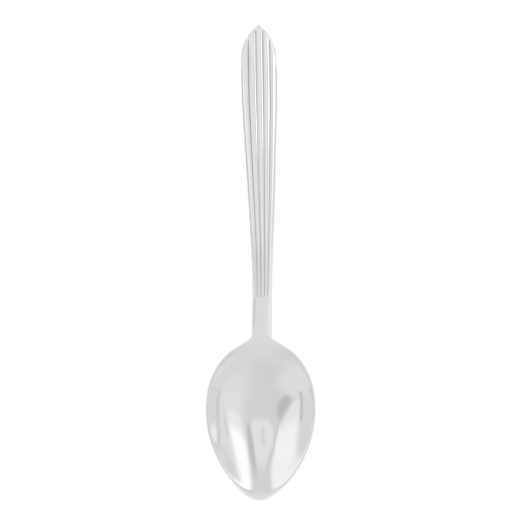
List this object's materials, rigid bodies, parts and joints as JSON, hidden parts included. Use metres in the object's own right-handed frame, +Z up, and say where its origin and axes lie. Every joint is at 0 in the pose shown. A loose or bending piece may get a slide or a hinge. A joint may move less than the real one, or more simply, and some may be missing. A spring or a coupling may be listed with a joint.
{
  "type": "serving spoon",
  "caption": "Long polished serving spoon with a deep oval bowl, a plain shank and a tapering ribbed hollow handle that ends in a pointed arch.",
  "frame": {"origin": "midway along the spoon's length, on the table that it lies on", "axes": "+Y along the spoon towards the handle's tip, +Z up out of the bowl, +X across the bowl"},
  "size_m": [0.0506, 0.216, 0.0229],
  "materials": {
    "polished_steel": "polished",
    "cement": "matte",
    "silver_braze": "polished"
  },
  "bodies": {
    "root": {"bowl": "polished_steel", "handle_front_shell": "polished_steel", "handle_back_shell": "polished_steel", "handle_filler": "cement", "seam_braze": "silver_braze", "mouth_braze": "silver_braze"}
  },
  "joints": []
}
